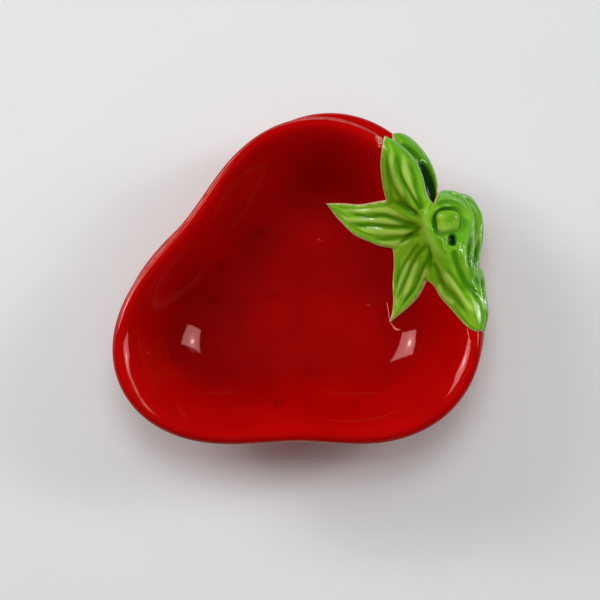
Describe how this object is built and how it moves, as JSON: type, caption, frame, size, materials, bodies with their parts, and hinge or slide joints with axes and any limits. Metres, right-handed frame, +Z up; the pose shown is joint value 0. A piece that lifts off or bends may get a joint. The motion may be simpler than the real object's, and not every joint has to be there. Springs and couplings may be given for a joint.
{
  "type": "nesting condiment dish",
  "caption": "Strawberry-shaped glazed earthenware olive dish nested in its twin, each with a rounded lip, raised green sepals, a cut stem stub and a ring foot; the upper one lifts out.",
  "frame": {"origin": "on the table, under the middle of the pair's bounding box", "axes": "+X from the lower dish's pointed end to its stem, +Y to its left, +Z up out of the bowl"},
  "size_m": [0.1454, 0.1242, 0.0573],
  "materials": {
    "red_glaze": "deep red gloss glaze, thin and ochre at the lip's edge",
    "green_glaze": "yellow-green gloss glaze that pools darker in the veins",
    "bare_clay": "unglazed cream biscuit, matt"
  },
  "bodies": {
    "lower_dish": {"lower_bowl": "red_glaze", "lower_foot_ring": "bare_clay", "lower_left_rim_sepal": "green_glaze", "lower_left_inner_sepal": "green_glaze", "lower_right_inner_sepal": "green_glaze", "lower_right_rim_sepal": "green_glaze", "lower_stem_collar": "green_glaze", "lower_stem_stub": "green_glaze"},
    "upper_dish": {"upper_bowl": "red_glaze", "upper_foot_ring": "bare_clay", "upper_left_rim_sepal": "green_glaze", "upper_left_inner_sepal": "green_glaze", "upper_right_inner_sepal": "green_glaze", "upper_right_rim_sepal": "green_glaze", "upper_stem_collar": "green_glaze", "upper_stem_stub": "green_glaze"}
  },
  "joints": [
    {"name": "upper_dish_lift", "type": "slide", "parent": "lower_dish", "child": "upper_dish", "axis": [0, 0, 1], "range_m": [0, 0.08]}
  ]
}
